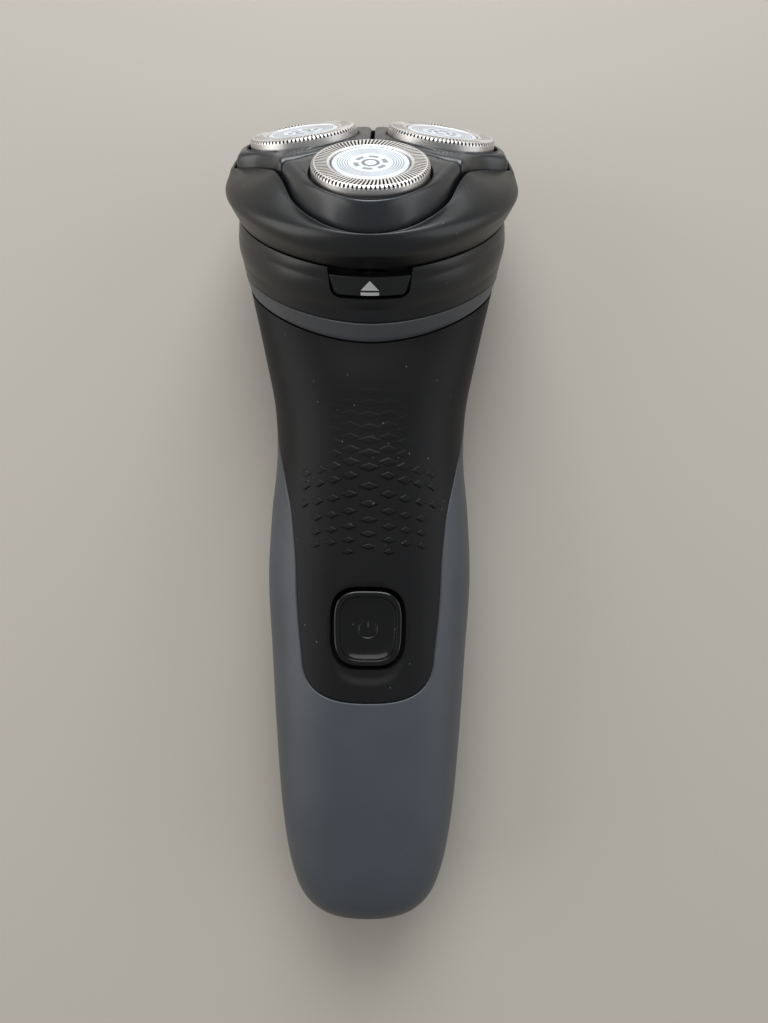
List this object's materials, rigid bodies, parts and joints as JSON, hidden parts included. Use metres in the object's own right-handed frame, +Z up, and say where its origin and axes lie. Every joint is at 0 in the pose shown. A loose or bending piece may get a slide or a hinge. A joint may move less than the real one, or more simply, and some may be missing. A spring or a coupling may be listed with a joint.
{
  "type": "rotary electric shaver",
  "caption": "Cordless rotary shaver with a waisted handle, a tilted head of floating round cutters in petal surrounds, a press button and a flip-open hair chamber.",
  "frame": {"origin": "middle of the box's bottom face: the shaver lies on its back on the plane Z = 0", "axes": "+X across the handle, +Y along the handle towards the head, +Z up, out of the front face"},
  "size_m": [0.0596, 0.1694, 0.0542],
  "materials": {
    "slate_plastic": "satin slate grey moulding",
    "black_plastic": "fine matte black moulding",
    "satin_black": "satin black moulding",
    "petal_plastic": "satin dark grey moulding",
    "ring_plastic": "satin grey painted ring",
    "steel": "ground and polished",
    "brass": "turned",
    "nylon": "moulded nylon",
    "rubber": "soft",
    "board": "green solder mask",
    "cell_wrap": "shrink sleeve"
  },
  "bodies": {
    "handle": {"front_shell": "slate_plastic", "front_panel": "black_plastic", "back_shell": "black_plastic", "chassis": "satin_black", "chassis_screw_1": "steel", "chassis_screw_2": "steel", "chassis_screw_3": "steel", "chassis_screw_4": "steel", "battery": "cell_wrap", "battery_contact_rear": "steel", "battery_contact_front": "steel", "circuit_board": "board", "tact_switch": "satin_black", "charging_socket": "black_plastic", "socket_pin_left": "brass", "socket_pin_right": "brass", "collar_ring": "ring_plastic", "hair_chamber": "satin_black", "hinge_pin": "steel", "gear_plate": "nylon", "motor_can": "steel", "motor_end_cap": "black_plastic", "spindle_seal_front": "rubber", "spindle_seal_right": "rubber", "spindle_seal_left": "rubber"},
    "motor_rotor": {"motor_pinion": "brass"},
    "centre_gear_body": {"centre_gear": "nylon"},
    "drive_front": {"drive_gear_front": "nylon", "drive_spindle_front": "steel"},
    "drive_right": {"drive_gear_right": "nylon", "drive_spindle_right": "steel"},
    "drive_left": {"drive_gear_left": "nylon", "drive_spindle_left": "steel"},
    "power_button_body": {"power_button": "black_plastic"},
    "release_button_body": {"release_button": "satin_black"},
    "head_unit": {"head_frame": "black_plastic", "retaining_frame": "nylon"},
    "lock": {"retaining_lock": "ring_plastic"},
    "petal_front_body": {"petal_front": "petal_plastic"},
    "cap_front_body": {"shaving_cap_front": "steel", "cap_disc_front": "steel"},
    "cutter_front_body": {"cutter_front": "steel"},
    "petal_right_body": {"petal_right": "petal_plastic"},
    "cap_right_body": {"shaving_cap_right": "steel", "cap_disc_right": "steel"},
    "cutter_right_body": {"cutter_right": "steel"},
    "petal_left_body": {"petal_left": "petal_plastic"},
    "cap_left_body": {"shaving_cap_left": "steel", "cap_disc_left": "steel"},
    "cutter_left_body": {"cutter_left": "steel"}
  },
  "joints": [
    {"name": "motor_spin", "type": "hinge", "parent": "handle", "child": "motor_rotor", "pos_m": [0, 0.04377, 0.02504], "axis": [0, 0.8271, 0.5621], "continuous": true},
    {"name": "centre_gear_spin", "type": "hinge", "parent": "handle", "child": "centre_gear_body", "pos_m": [0, 0.05244, 0.01762], "axis": [0, 0.8271, 0.5621], "continuous": true},
    {"name": "drive_front_spin", "type": "hinge", "parent": "handle", "child": "drive_front", "pos_m": [0, 0.04372, 0.03044], "axis": [0, 0.8271, 0.5621], "continuous": true},
    {"name": "drive_right_spin", "type": "hinge", "parent": "handle", "child": "drive_right", "pos_m": [0.01342, 0.05679, 0.01121], "axis": [0, 0.8271, 0.5621], "continuous": true},
    {"name": "drive_left_spin", "type": "hinge", "parent": "handle", "child": "drive_left", "pos_m": [-0.01342, 0.05679, 0.01121], "axis": [0, 0.8271, 0.5621], "continuous": true},
    {"name": "power_press", "type": "slide", "parent": "handle", "child": "power_button_body", "axis": [0, 0, -1], "range_m": [0, 0.0006], "stiffness_N_per_m": 1500},
    {"name": "release_press", "type": "slide", "parent": "handle", "child": "release_button_body", "axis": [0, 0.5621, -0.8271], "range_m": [0, 0.0012], "stiffness_N_per_m": 800},
    {"name": "head_flip", "type": "hinge", "parent": "handle", "child": "head_unit", "pos_m": [0, 0.07479, 0.00573], "axis": [-1, 0, 0], "range_deg": [0, 95]},
    {"name": "lock_turn", "type": "hinge", "parent": "head_unit", "child": "lock", "pos_m": [0, 0.07477, 0.0328], "axis": [0, 0.8271, 0.5621], "range_deg": [0, 90]},
    {"name": "petal_front_rock", "type": "hinge", "parent": "head_unit", "child": "petal_front_body", "pos_m": [0, 0.06026, 0.04168], "axis": [1, 0, 0], "range_deg": [-3, 3], "stiffness_Nm_per_rad": 0.3},
    {"name": "cap_front_float", "type": "slide", "parent": "petal_front_body", "child": "cap_front_body", "axis": [0, 0.7337, 0.6794], "range_m": [-0.001, 0], "stiffness_N_per_m": 500},
    {"name": "cutter_front_spin", "type": "hinge", "parent": "cap_front_body", "child": "cutter_front_body", "pos_m": [0, 0.06551, 0.04641], "axis": [0, 0.7337, 0.6794], "continuous": true},
    {"name": "petal_right_rock", "type": "hinge", "parent": "head_unit", "child": "petal_right_body", "pos_m": [0.01342, 0.07333, 0.02246], "axis": [-0.5, 0.4868, -0.7163], "range_deg": [-3, 3], "stiffness_Nm_per_rad": 0.3},
    {"name": "cap_right_float", "type": "slide", "parent": "petal_right_body", "child": "cap_right_body", "axis": [0.1295, 0.8598, 0.4939], "range_m": [-0.001, 0], "stiffness_N_per_m": 500},
    {"name": "cutter_right_spin", "type": "hinge", "parent": "cap_right_body", "child": "cutter_right_body", "pos_m": [0.01426, 0.07939, 0.02599], "axis": [0.1295, 0.8598, 0.4939], "continuous": true},
    {"name": "petal_left_rock", "type": "hinge", "parent": "head_unit", "child": "petal_left_body", "pos_m": [-0.01342, 0.07333, 0.02246], "axis": [-0.5, -0.4868, 0.7163], "range_deg": [-3, 3], "stiffness_Nm_per_rad": 0.3},
    {"name": "cap_left_float", "type": "slide", "parent": "petal_left_body", "child": "cap_left_body", "axis": [-0.1295, 0.8598, 0.4939], "range_m": [-0.001, 0], "stiffness_N_per_m": 500},
    {"name": "cutter_left_spin", "type": "hinge", "parent": "cap_left_body", "child": "cutter_left_body", "pos_m": [-0.01426, 0.07939, 0.02599], "axis": [-0.1295, 0.8598, 0.4939], "continuous": true}
  ],
  "couplings": [
    {"joint": "centre_gear_spin", "follows": "motor_spin", "ratio": -0.375},
    {"joint": "drive_front_spin", "follows": "motor_spin", "ratio": 0.7875},
    {"joint": "cutter_front_spin", "follows": "motor_spin", "ratio": 0.7875},
    {"joint": "drive_right_spin", "follows": "motor_spin", "ratio": 0.7875},
    {"joint": "cutter_right_spin", "follows": "motor_spin", "ratio": 0.7875},
    {"joint": "drive_left_spin", "follows": "motor_spin", "ratio": 0.7875},
    {"joint": "cutter_left_spin", "follows": "motor_spin", "ratio": 0.7875}
  ]
}
